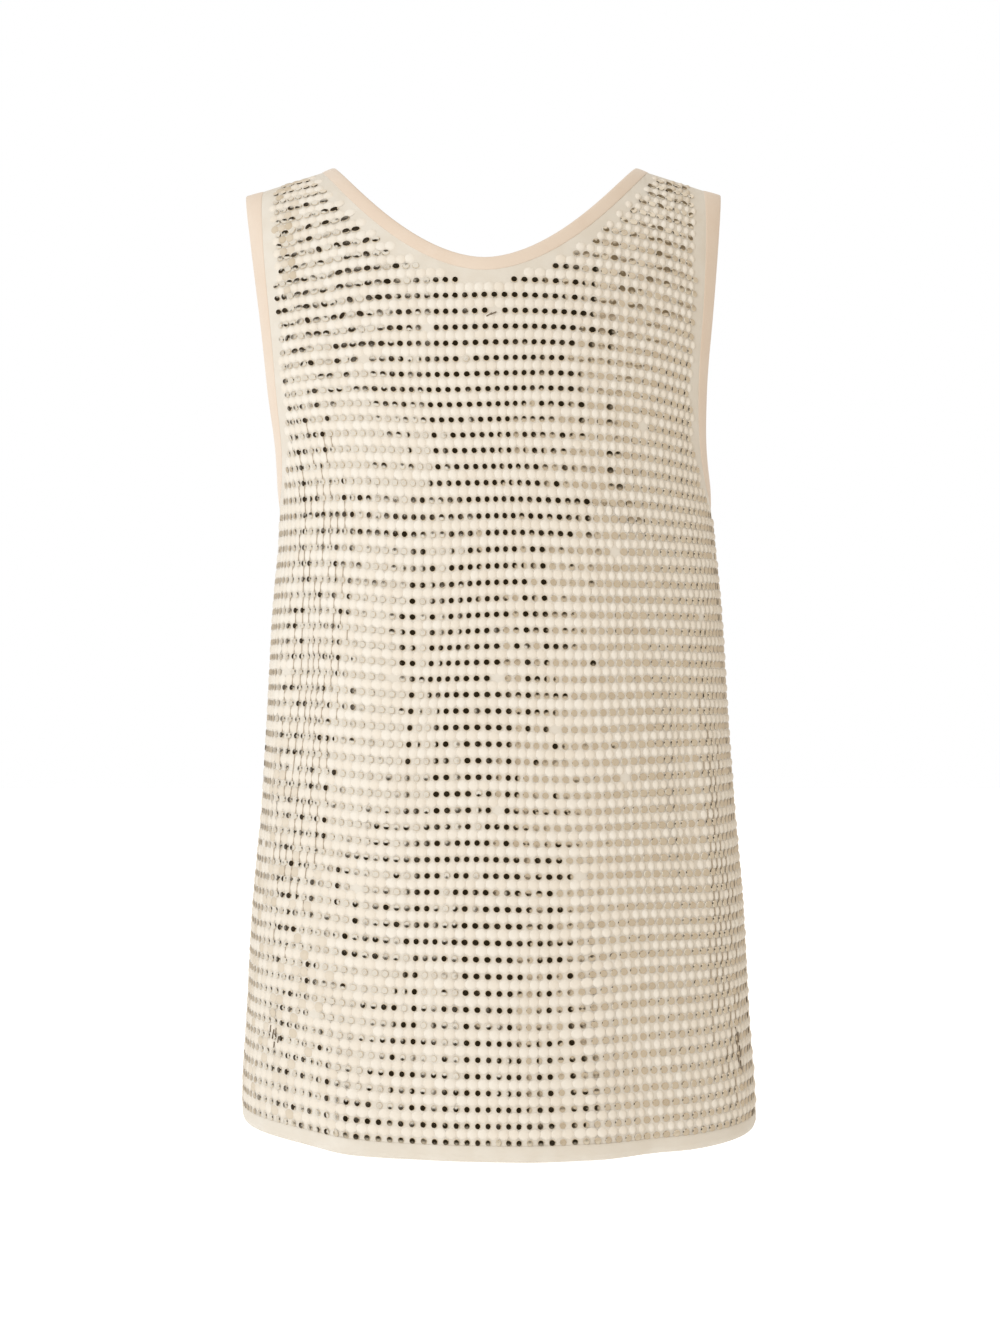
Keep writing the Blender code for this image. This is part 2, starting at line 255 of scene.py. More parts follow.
def neck_edge(face):
    """Turns and rises along the neck's edge, from one shoulder seam to the other."""
    share = np.sin(np.linspace(-1, 1, NECK_POINTS) * math.pi / 2)
    drop = face.neck_drop * (1 - np.abs(share) ** face.neck_power)
    across = (NECK_CENTRE + share * NECK_HALF - lean_at(drop)) / half_width_at(drop)
    turn = np.zeros_like(drop)
    for _ in range(PASSES):
        turn = np.arcsin(np.clip(across / fullness(turn), -1, 1))
    return turn, rise_at(turn, drop)


def inset(face, edge, width, side):
    """The edge moved by a width over the cloth, to the side of its run that holds the cloth."""
    turn, rise = edge
    across, up = tangents(face, turn, rise)
    along = across * np.gradient(turn)[:, None] + up * np.gradient(rise)[:, None]
    on_side = np.abs(np.abs(turn) - SIDE_TURN) < 1e-6
    along[on_side] = (across * np.sign((along * across).sum(-1, keepdims=True)))[on_side]
    on_top = np.abs(rise - 2) < 1e-6
    along[on_top] = (up * np.sign((along * up).sum(-1, keepdims=True)))[on_top]
    beside = unit(np.cross(outward(face, turn, rise), along)) * side * width
    wide = (across * across).sum(-1)
    slant = (across * up).sum(-1)
    tall = (up * up).sum(-1)
    over = (beside * across).sum(-1)
    high = (beside * up).sum(-1)
    turn_step = (over * tall - high * slant) / (wide * tall - slant * slant)
    rise_step = (high * wide - over * slant) / (wide * tall - slant * slant)
    here = smooth_face(face, turn, rise)
    for _ in range(PASSES):
        there = smooth_face(face, turn + turn_step, rise + rise_step)
        scale = width / np.linalg.norm(there - here, axis=-1)
        turn_step, rise_step = turn_step * scale, rise_step * scale
    return turn + turn_step, rise + rise_step


def arm_inset(face, hand, width):
    return inset(face, arm_edge(face, hand), width, -face.sign * hand)


def neck_inset(face, width):
    return inset(face, neck_edge(face), width, face.sign)


class Outline:
    """Where a face's cloth ends: its side or armhole edge at a rise, its neck edge at a turn."""

    def __init__(self, face, arm_width, neck_width):
        self.arms = {hand: arm_inset(face, hand, arm_width) for hand in (-1, 1)}
        self.neck = neck_inset(face, neck_width)

    def side_turn(self, hand, rise):
        turns, rises = self.arms[hand]
        found = np.interp(rise, rises, np.abs(turns))
        return np.where(rise <= rises[0], SIDE_TURN, np.minimum(found, SIDE_TURN))

    def edge_turn(self, turn, rise):
        """The turn of the side or armhole edge that is on the same side as these turns."""
        return np.where(turn > 0, self.side_turn(1, rise), self.side_turn(-1, rise))

    def top_rise(self, turn):
        turns, rises = self.neck
        return np.interp(turn, turns, rises, left=2.0, right=2.0)


def map_grid(columns, rows, place):
    """A bmesh grid whose every vertex goes where place says for its column and row numbers."""
    grid = bmesh.new()
    bmesh.ops.create_grid(grid, x_segments=columns, y_segments=rows, size=1.0)
    corners = np.array([vertex.co for vertex in grid.verts])
    column = np.rint((corners[:, 0] + 1) / 2 * columns).astype(int)
    row = np.rint((corners[:, 1] + 1) / 2 * rows).astype(int)
    for vertex, point in zip(grid.verts, place(column, row)):
        vertex.co = point
    return grid


def placed(mesh, finish):
    """Turns a mesh into a piece that rides on the top."""
    mesh.materials.append(finish)
    piece = bpy.data.objects.new(mesh.name, mesh)
    bpy.context.scene.collection.objects.link(piece)
    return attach(piece, "root")


def cloth_piece(work, name, finish, thickness):
    """Turns a bmesh into a piece of cloth that is thickened towards the wearer."""
    mesh = bpy.data.meshes.new(name)
    work.to_mesh(mesh)
    work.free()
    mesh.shade_smooth()
    piece = placed(mesh, finish)
    wall = piece.modifiers.new("wall", "SOLIDIFY")
    wall.thickness = thickness
    wall.offset = -1.0
    return piece


def lay_flat(work):
    """Gives each corner its place across and up in metres, which the weave is drawn with."""
    flat = work.loops.layers.uv.new("flat")
    for quad in work.faces:
        for loop in quad.loops:
            loop[flat].uv = (loop.vert.co.x, loop.vert.co.z)


class Value:
    """The output of a node, which can be used in sums."""

    def __init__(self, nodes, socket):
        self.nodes = nodes
        self.socket = socket

    def math(self, operation, *others):
        return self.nodes.add("ShaderNodeMath", {"operation": operation},
                              dict(enumerate([self, *others])))

    def __add__(self, other):
        return self.math("ADD", other)

    def __sub__(self, other):
        return self.math("SUBTRACT", other)

    def __rsub__(self, other):
        return self.math("MULTIPLY", -1.0).math("ADD", other)

    def __mul__(self, other):
        return self.math("MULTIPLY", other)

    __radd__ = __add__


class Nodes:
    """Adds nodes to a material or a world."""

    def __init__(self, tree):
        self.tree = tree

    def add(self, kind, settings=(), sockets=(), output=0):
        node = self.tree.nodes.new(kind)
        for name, value in dict(settings).items():
            setattr(node, name, value)
        for place, value in dict(sockets).items():
            self.feed(node.inputs[place], value)
        return Value(self, node.outputs[output])

    def feed(self, socket, value):
        if isinstance(value, Value):
            self.tree.links.new(value.socket, socket)
        else:
            socket.default_value = value

    def mix(self, share, first, second):
        return self.add("ShaderNodeMix", {"data_type": "RGBA"}, {0: share, 6: first, 7: second}, 2)

    def part(self, vector, axis):
        return self.add("ShaderNodeSeparateXYZ", (), {0: vector}, output=axis)

    def band(self, value, start, end):
        """Rises smoothly from 0 at start to 1 at end."""
        return self.add("ShaderNodeMapRange", {"interpolation_type": "SMOOTHSTEP"},
                        {0: value, 1: start, 2: end, 3: 0.0, 4: 1.0})


def new_finish(name, **constants):
    """A material, its nodes, and its shader with the constants set on its own sockets."""
    material = bpy.data.materials.new(name)
    material.use_nodes = True
    shader = material.node_tree.nodes["Principled BSDF"]
    for socket, value in constants.items():
        shader.inputs[socket.replace("_", " ")].default_value = value
    return material, Nodes(material.node_tree), shader


CLOTH_LIGHT = (0.715, 0.668, 0.595, 1.0)
CLOTH_SHADE = (0.685, 0.628, 0.545, 1.0)
YARNS_PER_METRE = 1250.0

cloth_finish, nodes, shader = new_finish("cream_cloth", Roughness=0.75, Sheen_Weight=0.25,
                                         Sheen_Roughness=0.5)
position = nodes.add("ShaderNodeTexCoord", output="UV")
warp_wave = (nodes.part(position, "X") * (YARNS_PER_METRE * 2 * math.pi)).math("SINE")
weft_wave = (nodes.part(position, "Y") * (YARNS_PER_METRE * 2 * math.pi)).math("SINE")
weave = warp_wave * weft_wave
slub = nodes.add("ShaderNodeTexNoise", (), {"Vector": position, "Scale": 60.0, "Detail": 3.0})
nodes.feed(shader.inputs["Base Color"],
           nodes.mix(nodes.band(slub + weave * 0.08, 0.35, 0.65), CLOTH_SHADE, CLOTH_LIGHT))
nodes.feed(shader.inputs["Normal"], nodes.add(
    "ShaderNodeBump", (), {"Strength": 0.35, "Distance": 0.00015, "Height": weave + slub * 0.6}))

BESIDE_NECK_POINTS = 13     # from the neck to the side edge
BELOW_ARM_POINTS = 61       # from the hem to the armhole
for face in (BACK, FRONT):
    outline = Outline(face, ARM_BINDING - TUCKED_IN, NECK_BINDING - TUCKED_IN)
    neck_turns, neck_rises = outline.neck
    neck_turns, neck_rises = neck_turns[::2], neck_rises[::2]
    neck_shares = neck_turns / outline.edge_turn(neck_turns, neck_rises)
    shares = np.concatenate([np.linspace(-1, neck_shares[0], BESIDE_NECK_POINTS)[:-1], neck_shares,
                             np.linspace(neck_shares[-1], 1, BESIDE_NECK_POINTS)[1:]])
    straight = np.linspace(0, 1, BELOW_ARM_POINTS)[:-1]
    left_rows = np.concatenate([straight * outline.arms[-1][1][0], outline.arms[-1][1]])
    right_rows = np.concatenate([straight * outline.arms[1][1][0], outline.arms[1][1]])
    left_rows[-1] = right_rows[-1] = 2.0

    def cloth_place(column, row):
        share = shares[column]
        rise = left_rows[row] + (right_rows[row] - left_rows[row]) * (share + 1) / 2
        top = np.interp(share, neck_shares, neck_rises)
        under_neck = (share > neck_shares[0]) & (share < neck_shares[-1]) & (rise > 1)
        rise = np.where(under_neck, 1 + (rise - 1) * (top - 1), rise)
        turn = share * outline.edge_turn(share, rise)
        return cloth_point(face, turn, rise, np.full_like(rise, CLOTH_DEPTH))

    cloth = map_grid(len(shares) - 1, len(left_rows) - 1, cloth_place)
    bmesh.ops.recalc_face_normals(cloth, faces=cloth.faces)
    middle = cloth.faces[len(cloth.faces) // 3]
    if middle.normal.y * face.sign < 0:
        bmesh.ops.reverse_faces(cloth, faces=cloth.faces)
    lay_flat(cloth)
    panel = cloth_piece(cloth, face.name + "_cloth", cloth_finish, CLOTH_THICKNESS)
    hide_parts(face.name + "_panel")

# Paillettes: about 3400 oval satin pieces of cream plastic on each side, slightly domed, sewn
# on in level rows. Neighbours overlap a little, but stand apart on the right half of each side.
COLUMNS = 33                # from the centre line to a side seam
SIDE_SPREAD = 0.08          # how much wider apart they sit towards the side seams
ROW_PITCH = 0.00975
ROWS = 75
FIRST_ROW = 0.0118          # height of the lowest row of mirror discs above the hem
PAILLETTE_HEIGHT = 0.00085
PAILLETTE_REACH = 0.570     # half width over the pitch of the columns
PAILLETTE_APART = 0.195     # how much narrower they are on the right half, where they stand apart
PAILLETTE_PROUD = 0.55      # and by what share they are higher there
PAILLETTE_TALL = 0.34       # half height over the pitch of the rows
PAILLETTE_SHORTER = 0.03    # less than that where they stand apart
PAILLETTE_DOME = ((0.55, 0.80), (0.85, 0.42), (1.0, -0.05))    # share of the reach, of the height
PAILLETTE_SIDES = 10
PAILLETTE_SINK = 0.0001     # underside below the face of the cloth
PAILLETTE_LEAN = math.radians(2.0)
UNEVEN = (0.88, 1.12)       # least and most height over the usual one
APART_FROM = 0.28           # turn at which they start to stand apart
APART_OVER = 0.30
PLAIN_AT_ARM = 0.0085       # plain strip of cloth beside a binding
PLAIN_AT_NECK = 0.0050
STRAP_DROOP = 0.0200        # how much lower the rows lie at the outer side of the straps
DROOP_ROWS = {-1: (44, 17), 1: (36, 24)}    # by side: row that it starts at, rows to reach it
DROOP_FROM = 0.3            # turn at which the droop starts
DROOP_OVER = 0.95
MOST_DROOP = 1.2            # the droop goes on to this share of itself above its last row
ASIDE = 0.11                # waver of the columns over their pitch
ABOVE = 0.07                # waver of the rows over their pitch
STILL_ROWS = 5              # the rows above the hem in which the waver grows from nothing
RIPPLES = 9                 # waves in the waver, this long in columns and rows, this high each
RIPPLE_LENGTHS = (7, 24)
RIPPLE_HEIGHT = 0.45
RIPPLE_ACROSS = 0.8         # how much less they change along the rows
HIPS_RISE = 0.62            # where the columns are spaced evenly
HIGHEST_RISE = 1.985        # nothing is sewn on above this, where the shoulder seam is
NOWHERE = 9.0               # rise of places past the shoulder seam
COLUMN_POINTS = 500         # that lengths are measured with up a column, and round to a side
RING_POINTS = 400
chance = np.random.RandomState(7)


def ripple(column, row):
    """Slow random waves over the numbers of the columns and rows, about 1 high."""
    waves = np.zeros_like(column)
    for _ in range(RIPPLES):
        direction = chance.uniform(0, 2 * math.pi)
        length = chance.uniform(*RIPPLE_LENGTHS)
        phase = chance.uniform(0, 7)
        along = column * math.cos(direction) * RIPPLE_ACROSS + row * math.sin(direction)
        waves = waves + np.sin(along * 2 * math.pi / length + phase) * RIPPLE_HEIGHT
    return waves


def run_along(points):
    """Lengths from the first point to each point of a line."""
    return np.concatenate([[0], np.cumsum(np.linalg.norm(np.diff(points, axis=0), axis=1))])


class Rows:
    """The lines that everything is sewn along: half columns by half rows over one face."""

    def __init__(self, face):
        rises = np.linspace(0, 2, COLUMN_POINTS)
        ring_turns = np.linspace(0, SIDE_TURN, RING_POINTS)
        around = run_along(smooth_face(face, ring_turns, np.full_like(ring_turns, HIPS_RISE)))
        self.columns = np.arange(-2 * COLUMNS, 2 * COLUMNS + 1) / 2
        self.rows = np.arange(-1, 2 * ROWS) / 2
        share = np.abs(self.columns) / COLUMNS
        share = share * (1 - SIDE_SPREAD) + SIDE_SPREAD * share ** 3
        turns = np.sign(self.columns) * np.interp(share * around[-1], around, ring_turns)
        heights = FIRST_ROW + self.rows * ROW_PITCH
        self.turn = np.repeat(turns[:, None], len(self.rows), axis=1)
        self.rise = np.zeros_like(self.turn)
        for number, turn in enumerate(turns):
            run = run_along(smooth_face(face, np.full_like(rises, turn), rises))
            first, count = DROOP_ROWS[1 if turn > 0 else -1]
            droop = (STRAP_DROOP * smooth_step((abs(turn) - DROOP_FROM) / DROOP_OVER)
                     * np.clip((self.rows - first) / count, 0, MOST_DROOP))
            self.rise[number] = np.interp(heights - droop, run, rises, right=np.nan)
        column, row = np.meshgrid(self.columns, self.rows, indexing="ij")
        aside = ripple(column, row) * ASIDE * (1 - (column / COLUMNS) ** 4)
        above = ripple(column, row) * ABOVE * smooth_step(row / STILL_ROWS)
        self.turn = self.turn + aside * 2 * np.gradient(self.turn, axis=0)
        self.rise = self.rise + above * 2 * np.gradient(self.rise, axis=1)
        self.points = cloth_point(face, self.turn, self.rise, np.zeros_like(self.rise))
        self.face = face

    def places(self, odd_column, odd_row, arm_room, neck_room):
        """Column and row numbers, turns and rises of the places, off by half a pitch where odd."""
        column, row = np.meshgrid(np.arange(1 + odd_column, len(self.columns) - 1, 2),
                                  np.arange(2 - odd_row, len(self.rows) - 1, 2), indexing="ij")
        column, row = column.ravel(), row.ravel()
        turn, rise = self.turn[column, row], self.rise[column, row]
        outline = Outline(self.face, arm_room, neck_room)
        rise = np.nan_to_num(rise, nan=NOWHERE)
        keep = np.abs(turn) <= outline.edge_turn(turn, rise) + 1e-9
        keep &= (rise < outline.top_rise(turn)) & (rise < HIGHEST_RISE)
        keep &= ~np.isnan(self.rise[column, row + 1]) & (row + 1 < len(self.rows) - 1)
        return column[keep], row[keep], turn[keep], rise[keep]

    def axes(self, column, row):
        """Vectors one column along and one row up, and the unit normal, with the folds in them."""
        across = self.points[column + 1, row] - self.points[column - 1, row]
        up = self.points[column, row + 1] - self.points[column, row - 1]
        return across, up, unit(np.cross(across, up) * -self.face.sign)


sewn_rows = {face: Rows(face) for face in (BACK, FRONT)}


def turned(rows, axis, angle):
    """Rows of vectors turned about rows of unit axes."""
    cos, sin = np.cos(angle)[:, None], np.sin(angle)[:, None]
    along = (rows * axis).sum(-1, keepdims=True)
    return rows * cos + np.cross(axis, rows) * sin + axis * along * (1 - cos)


def sown(name, pattern, centres, across, up, normal, finish, tone, smooth=True):
    """One mesh that repeats a pattern's mesh at every centre, with its own three axes."""
    corners = np.array([vertex.co for vertex in pattern.verts])
    pattern.verts.index_update()
    faces = [[vertex.index for vertex in part.verts] for part in pattern.faces]
    pattern.free()
    points = (centres[:, None] + corners[None, :, 0, None] * across[:, None]
              + corners[None, :, 1, None] * up[:, None] + corners[None, :, 2, None] * normal[:, None])
    mesh = bpy.data.meshes.new(name)
    count = len(corners)
    mesh.from_pydata(points.reshape(-1, 3), [], [[corner + place * count for corner in part]
                                                 for place in range(len(centres)) for part in faces])
    if smooth:
        mesh.shade_smooth()
    mesh.attributes.new("tone", "FLOAT", "POINT").data.foreach_set(
        "value", np.repeat(tone, count).astype(np.float32))
    return placed(mesh, finish)


def button(sides, rings):
    """A round domed form of radius 1: a fan to the first ring, then rings of radius and height."""
    form = bmesh.new()
    bmesh.ops.create_circle(form, cap_ends=True, cap_tris=False, segments=sides, radius=rings[-1][0])
    cap = form.faces[:][0]
    for radius, _ in reversed(rings[:-1]):
        bmesh.ops.inset_individual(form, faces=[cap], thickness=0.0)
        scale = radius / max(vertex.co.length for vertex in cap.verts)
        bmesh.ops.scale(form, vec=(scale, scale, 1.0), verts=cap.verts)
    bmesh.ops.poke(form, faces=[cap])
    for vertex in form.verts:
        vertex.co.z = float(np.interp(vertex.co.xy.length, [0.0] + [ring[0] for ring in rings],
                                      [1.0] + [ring[1] for ring in rings]))
    bmesh.ops.recalc_face_normals(form, faces=form.faces)
    return form


def nearness(places, face, turn, rise):
    """How far these points are inside the face's places: a place's own strength near its middle,
    then less from half its width and height on, and 0 from one and a half on."""
    share = np.zeros_like(turn)
    for where, middle_turn, middle_rise, width, height, strength in places:
        if where is face:
            away = np.hypot((turn - middle_turn) / width, (rise - middle_rise) / height)
            share = np.maximum(share, strength * smooth_step(1.5 - away))
    return share


# Painted shade: places where the paillettes' colour turns a darker tan, standing in for the shade in the
# folds on the straps and low at the sides.
PAINTED_SHADE_PLACES = (                 # face, turn, rise, width, height, strength
    (BACK, -0.95, 1.84, 0.22, 0.12, 0.65), (BACK, -0.88, 1.55, 0.10, 0.20, 0.60),
    (BACK, 0.95, 1.84, 0.22, 0.12, 0.55), (BACK, -1.10, 0.20, 0.50, 0.40, 0.38),
    (FRONT, -0.95, 1.80, 0.22, 0.14, 0.60), (FRONT, 0.92, 1.70, 0.16, 0.18, 0.60),
    (FRONT, 1.10, 0.30, 0.50, 0.40, 0.35),
)
# The darker tan of the painted shade.
PAILLETTE_PAINTED_SHADE = (0.560, 0.470, 0.350, 1.0)
PAILLETTE_LIGHT = (0.785, 0.735, 0.660, 1.0)
PAILLETTE_WARM = (0.755, 0.690, 0.600, 1.0)
paillette_finish, nodes, shader = new_finish("cream_satin_plastic", Specular_IOR_Level=0.45)
tone = nodes.add("ShaderNodeAttribute", {"attribute_name": "tone"}, output="Fac")
spot = nodes.add("ShaderNodeTexCoord", output="Object")
bloom = nodes.add("ShaderNodeTexNoise", (), {"Vector": spot, "Scale": 38.0, "Detail": 4.0})
cream = nodes.mix(nodes.band(tone * 0.5 + bloom * 0.8, 0.35, 0.95), PAILLETTE_WARM, PAILLETTE_LIGHT)
# Painted shade: the lower the tone, the more the cream turns to the darker tan.
nodes.feed(shader.inputs["Base Color"], nodes.mix(nodes.band(tone, -0.1, -1.1), cream, PAILLETTE_PAINTED_SHADE))
nodes.feed(shader.inputs["Roughness"], 0.36 + bloom * 0.16)


def apart_at(turn):
    """How far the paillettes stand apart: 0 on the left and in the middle, 1 on the right."""
    return smooth_step((turn - APART_FROM) / APART_OVER)


def tilted(across, up, normal, lean, nod, twist):
    """The three axes of sewn-on pieces, leant sideways, nodded up or down and twisted."""
    normal = turned(turned(normal, unit(up), lean), unit(across), nod)
    across = turned(turned(across, unit(up), lean), normal, twist)
    return across, turned(turned(up, unit(across), nod), normal, twist), normal


for face in (BACK, FRONT):
    lines = sewn_rows[face]
    column, row, turn, rise = lines.places(
        0, 0, ARM_BINDING + PLAIN_AT_ARM, NECK_BINDING + PLAIN_AT_NECK)
    count = len(column)
    lean = chance.normal(0, PAILLETTE_LEAN, count)
    nod = chance.normal(0, PAILLETTE_LEAN, count)
    across, up, normal = tilted(*lines.axes(column, row), lean, nod, np.zeros(count))
    centres = lines.points[column, row] - normal * (CLOTH_DEPTH + PAILLETTE_SINK)
    dome = button(PAILLETTE_SIDES, PAILLETTE_DOME)
    apart = apart_at(turn)
    reach = PAILLETTE_REACH - PAILLETTE_APART * apart
    height = PAILLETTE_HEIGHT * chance.uniform(*UNEVEN, count) * (1 + PAILLETTE_PROUD * apart)
    shade = chance.uniform(0, 1, count)
    # Painted shade: the tone is lowered in the places of painted shade.
    shade -= 2 * nearness(PAINTED_SHADE_PLACES, face, turn, rise)
    piece = sown(face.name + "_paillettes", dome, centres, across * reach[:, None],
                 up * (PAILLETTE_TALL - PAILLETTE_SHORTER * apart)[:, None],
                 normal * height[:, None], paillette_finish, shade)

# Mirror discs: a small polished disc of pale gold metal sits in each hollow where four
# paillettes meet, sewn down so that it never lies quite level.
DISC_WIDE = 0.335           # half width over the pitch of the columns
DISC_TALL = 0.205           # half height over the pitch of the rows
DISC_HEIGHT = 0.00050
PRESSED_FLAT = 0.65         # share of their height that the discs beside the side seams lack
DISC_SEAT = 0.00030         # underside above the cloth
DISC_LEAN = math.radians(3.5)
DISC_NOD = math.radians(1.5)
SLIT_COLUMNS = {BACK: (53, 57, 73, 79, 87), FRONT: (51, 65, 83)}
SLIT_WAVE = 0.11            # a wave of this many radians a row runs along these columns, and
SLIT_ABOVE = -0.2           # where it is above this, the paillettes half hide the discs
SLIT_SHARE = 0.35           # share of their width that is left
DULLED = 3.5                # how much the discs beside the side seams are rubbed dull
LOOSE = (                   # less covered and less level: face, turn, rise, width, height, strength
    (BACK, -0.75, 1.45, 0.40, 0.34, 1.0), (BACK, 0.82, 1.62, 0.30, 0.20, 1.0),
    (FRONT, 0.78, 1.42, 0.34, 0.32, 1.0), (FRONT, -0.85, 1.60, 0.30, 0.22, 1.0),
)
LOOSE_WIDER = 0.40
LOOSE_TWIST = math.radians(18.0)
MISSING_DISC = (0.023, 1.2458)      # turn and rise of the one missing under the back's neck
MISSING_REACH = 0.02        # it is the one nearer to that place than this
MISSING_SHARE = 0.004       # share of all the others that are missing too
HIGHEST_DISC = 1.88         # rise above which there are none
MORE_AT_ARM = 0.001         # wider plain strips than beside the paillettes
MORE_AT_NECK = 0.003
SEAM_FROM = 1.05            # turn at which the places beside a side seam start
SEAM_OVER = 0.20
KNOTS = 10                  # places down a column where its lean is set, smooth between them
KNOT_LEAN = 1.3             # how much of the lean goes with the column, and how much is a disc's own
OWN_LEAN = 0.6
LOW_NARROWER = 0.14         # the lowest four rows are narrower by this share,
LOW_ROWS = 14               # and those up to this row by less and less
LOW_ROWS_OVER = 10
BARER_WIDER = 0.26          # they are larger by these shares where the paillettes stand apart
BARER_TALLER = 0.12
DISC_COLOUR = (0.86, 0.77, 0.63, 1.0)
DISC_DARKER = (0.80, 0.70, 0.56, 1.0)
DISC_SIDES = 12
DISC_DOME = ((0.86, 0.93), (1.0, 0.0))
disc_finish, nodes, shader = new_finish("polished_pale_gold", Metallic=1.0)
tone = nodes.add("ShaderNodeAttribute", {"attribute_name": "tone"}, output="Fac")
nodes.feed(shader.inputs["Base Color"], nodes.mix(tone, DISC_COLOUR, DISC_DARKER))
nodes.feed(shader.inputs["Roughness"], 0.05 + tone * 0.10)

for face in (BACK, FRONT):
    lines = sewn_rows[face]
    column, row, turn, rise = lines.places(
        1, 1, ARM_BINDING + PLAIN_AT_ARM + MORE_AT_ARM, NECK_BINDING + PLAIN_AT_NECK + MORE_AT_NECK)
    keep = (rise < HIGHEST_DISC) & (chance.uniform(0, 1, len(column)) > MISSING_SHARE)
    if face is BACK:
        keep &= np.hypot(turn - MISSING_DISC[0], rise - MISSING_DISC[1]) > MISSING_REACH
    column, row, turn, rise = column[keep], row[keep], turn[keep], rise[keep]
    count = len(column)
    seam = smooth_step((np.abs(turn) - SEAM_FROM) / SEAM_OVER)
    table = chance.normal(0, DISC_LEAN, (len(lines.columns), KNOTS + 2))
    place = row / len(lines.rows) * KNOTS
    knot = place.astype(int)
    share = place - knot
    down_column = table[column, knot] * (1 - share) + table[column, knot + 1] * share
    lean = down_column * KNOT_LEAN + chance.normal(0, DISC_LEAN * OWN_LEAN, count)
    nod = chance.normal(0, DISC_NOD, len(lines.rows))[row] + chance.normal(0, DISC_NOD, count)
    loose = nearness(LOOSE, face, turn, rise)
    lean += chance.normal(0, DISC_LEAN, count) * loose
    nod += chance.normal(0, DISC_LEAN, count) * loose
    twist = chance.normal(0, LOOSE_TWIST, count) * loose
    across, up, normal = tilted(*lines.axes(column, row), lean, nod, twist)
    centres = lines.points[column, row] + normal * (DISC_SEAT - CLOTH_DEPTH)
    disc = button(DISC_SIDES, DISC_DOME)
    hidden = np.isin(column, SLIT_COLUMNS[face]) & (np.sin(row * SLIT_WAVE + column) > SLIT_ABOVE)
    low = smooth_step((LOW_ROWS - row / 2) / LOW_ROWS_OVER)
    apart = apart_at(turn) * (1 - loose)
    wide = DISC_WIDE * np.where(hidden, SLIT_SHARE, 1.0) * (1 + LOOSE_WIDER * loose - LOW_NARROWER * low)
    wide *= 1 + BARER_WIDER * apart
    tall = DISC_TALL * (1 + BARER_TALLER * apart)
    height = DISC_HEIGHT * (1 - PRESSED_FLAT * seam)
    shade = chance.uniform(0, 1, count) ** 2 + DULLED * seam
    piece = sown(face.name + "_discs", disc, centres, across * wide[:, None], up * tall[:, None],
                 normal * height[:, None], disc_finish, shade, False)

# Thread: brown sewing thread runs down between the columns and holds the discs. Short loose
# stitches show where a disc is missing under the back's neck and low down at the side seams.
THREAD_WIDE = 0.00024
STITCH_WIDE = 0.00040
THREAD_SHOWN = 0.8          # share of the thread that shows there
THREAD_SEAT = 0.00030       # middle of the thread above the cloth
THREAD_SLANT = 0.06         # usual slant of one length of thread, as a share of the column pitch
BARE_THREAD = (             # where it shows: face, turn, rise, width, height, strength
    (BACK, -0.91, 0.68, 0.19, 0.34, 1.0), (BACK, 1.06, 0.35, 0.13, 0.24, 1.0),
    (FRONT, 0.91, 0.65, 0.18, 0.30, 1.0), (FRONT, -1.05, 0.38, 0.10, 0.22, 1.0),
)
STITCHES = (                # turn, rise, degrees from level, length
    (0.014, 1.244, 38, 0.0040), (0.031, 1.248, 30, 0.0036),
    (-1.022, 0.156, 84, 0.0044), (-0.998, 0.149, 79, 0.0058), (-0.976, 0.153, 86, 0.0050),
    (-0.956, 0.143, 81, 0.0040), (-0.985, 0.134, 88, 0.0036),
    (1.124, 0.156, 92, 0.0060), (1.150, 0.147, 86, 0.0066), (1.128, 0.137, 95, 0.0052),
    (1.158, 0.126, 88, 0.0070), (1.134, 0.116, 84, 0.0050), (1.156, 0.106, 93, 0.0056),
)


def thread_finish(name, dark, light):
    """Matt spun thread, uneven in colour like its fibres."""
    finish, nodes, shader = new_finish(name, Roughness=0.7)
    spot = nodes.add("ShaderNodeTexCoord", output="Object")
    fray = nodes.add("ShaderNodeTexNoise", (), {"Vector": spot, "Scale": 700.0, "Detail": 2.0})
    nodes.feed(shader.inputs["Base Color"], nodes.mix(fray, dark, light))
    return finish


brown_thread = thread_finish("brown_thread", (0.40, 0.32, 0.23, 1.0), (0.58, 0.49, 0.38, 1.0))
dark_thread = thread_finish("dark_thread", (0.12, 0.09, 0.06, 1.0), (0.26, 0.20, 0.14, 1.0))


def bar():
    """A round bar of length 2 and radius 1 along the second axis."""
    form = bmesh.new()
    bmesh.ops.create_cone(form, cap_ends=True, segments=5, radius1=1.0, radius2=1.0, depth=2.0)
    bmesh.ops.rotate(form, cent=(0, 0, 0), matrix=Matrix.Rotation(math.pi / 2, 3, "X"), verts=form.verts)
    return form


for face in (BACK, FRONT):
    lines = sewn_rows[face]
    column, row, turn, rise = lines.places(
        1, 0, ARM_BINDING + PLAIN_AT_ARM, NECK_BINDING + PLAIN_AT_NECK)
    bare = chance.uniform(0, 1, len(column)) < nearness(BARE_THREAD, face, turn, rise) * THREAD_SHOWN
    column, row = column[bare], row[bare]
    across, up, normal = lines.axes(column, row)
    count = len(column)
    centres = lines.points[column, row] + normal * (THREAD_SEAT - CLOTH_DEPTH)
    slant = chance.normal(0, THREAD_SLANT, count)[:, None]
    piece = sown(face.name + "_thread", bar(), centres, unit(across) * THREAD_WIDE,
                 (up + across * slant) / 2, normal * THREAD_WIDE, brown_thread, np.zeros(count))

turn, rise, degrees, length = (np.array(column) for column in zip(*STITCHES))
across, up = tangents(BACK, turn, rise)
normal = outward(BACK, turn, rise)
run = turned(unit(across), normal, np.radians(degrees))
centres = cloth_point(BACK, turn, rise, np.full_like(turn, CLOTH_DEPTH)) + normal * PAILLETTE_HEIGHT
piece = sown("back_stitches", bar(), centres, np.cross(run, normal) * STITCH_WIDE,
             run * length[:, None] / 2, normal * STITCH_WIDE, dark_thread, np.zeros(len(turn)))

